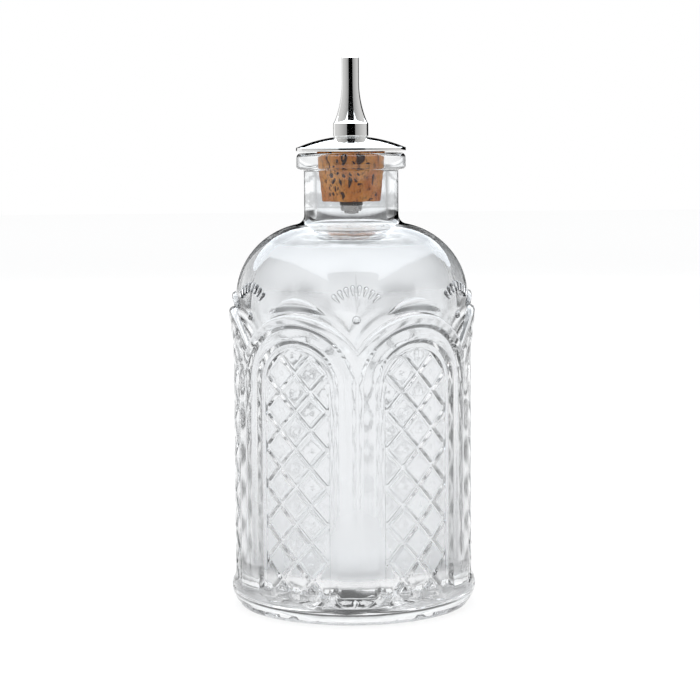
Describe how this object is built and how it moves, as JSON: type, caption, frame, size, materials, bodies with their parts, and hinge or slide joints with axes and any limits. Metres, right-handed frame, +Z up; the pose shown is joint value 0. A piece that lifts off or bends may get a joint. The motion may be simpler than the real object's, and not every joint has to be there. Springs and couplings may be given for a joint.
{
  "type": "bitters bottle",
  "caption": "Pressed clear glass bitters bottle with arched lattice windows and a cork dasher stopper under a domed steel cap.",
  "frame": {"origin": "centre of the foot, in the plane that the bottle stands on", "axes": "+Z up along the bottle's axis, from the foot to the spout; a palmette faces -Y"},
  "size_m": [0.064, 0.0638, 0.1423],
  "materials": {
    "clear_glass": "clear pressed glass, fire polished",
    "cork": "natural cork, uncoated, pitted",
    "polished_steel": "turned and mirror polished",
    "plain_steel": "plain machined"
  },
  "bodies": {
    "bottle": {"bottle": "clear_glass"},
    "stopper": {"cork_stopper": "cork", "dome_flange": "polished_steel", "dasher_spout": "polished_steel", "stem_tube": "plain_steel", "end_washer": "plain_steel", "retaining_nut": "plain_steel"}
  },
  "joints": [
    {"name": "stopper_lift", "type": "slide", "parent": "bottle", "child": "stopper", "axis": [0, 0, 1], "range_m": [0, 0.03]}
  ]
}
